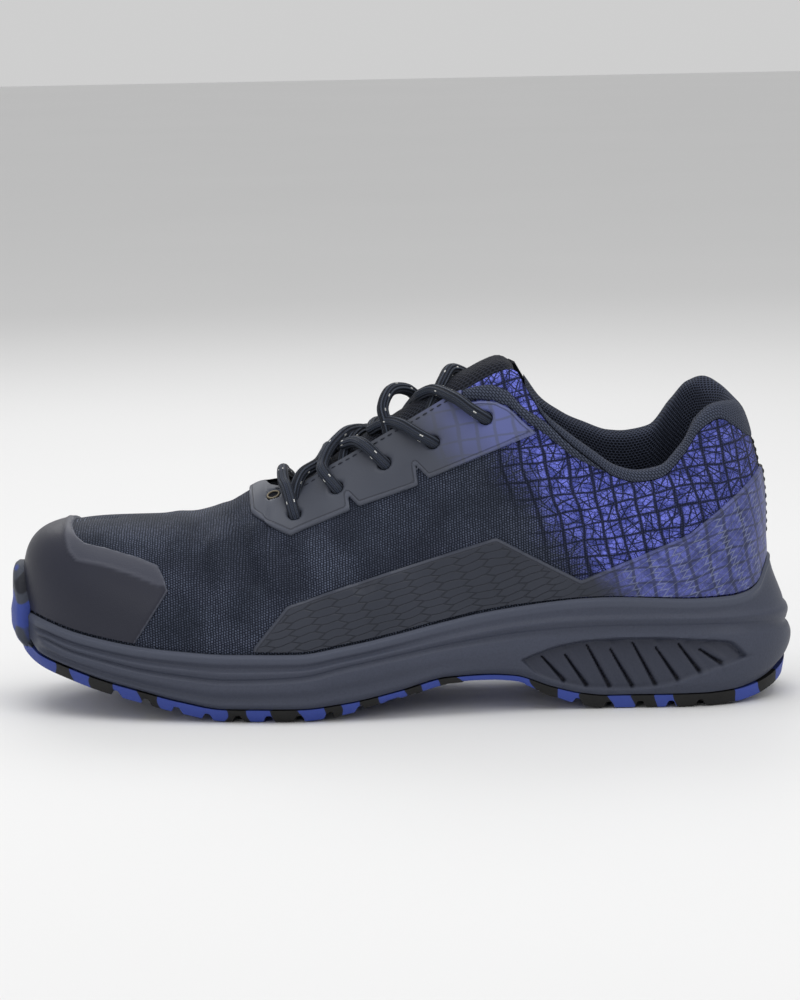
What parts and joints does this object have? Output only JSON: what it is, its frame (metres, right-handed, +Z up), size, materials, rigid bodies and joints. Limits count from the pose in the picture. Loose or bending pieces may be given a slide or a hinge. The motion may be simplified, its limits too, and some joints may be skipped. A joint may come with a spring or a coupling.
{
  "type": "safety sneaker",
  "caption": "Low safety sneaker for the left foot: hollow textile upper, padded collar and tongue, toe and side overlays, sculpted midsole and lugged outsole that wraps up the toe.",
  "frame": {"origin": "middle of the shoe's length and width, on the floor it stands on", "axes": "+X from toe to heel, +Y towards the inner (medial) side, -Y towards the outer (lateral) side, +Z up"},
  "size_m": [0.3, 0.1078, 0.1301],
  "materials": {
    "midsole_foam": "satin moulded foam",
    "upper_textile": "matt woven textile",
    "outsole_rubber": "matt rubber",
    "insole_textile": "matt cloth over foam",
    "tongue_textile": "matt padded cloth",
    "overlay_film": "satin moulded film",
    "panel_film": "satin embossed film",
    "collar_knit": "matt knitted mesh over foam",
    "lace_cord": "matt braided cord"
  },
  "bodies": {
    "root": {"midsole": "midsole_foam", "upper": "upper_textile", "outsole": "outsole_rubber", "insole": "insole_textile", "tongue": "tongue_textile", "toe_cap": "overlay_film", "eyestay": "overlay_film", "side_film": "panel_film", "band_lateral": "collar_knit", "band_medial": "collar_knit", "collar": "collar_knit", "lace": "lace_cord"}
  },
  "joints": []
}
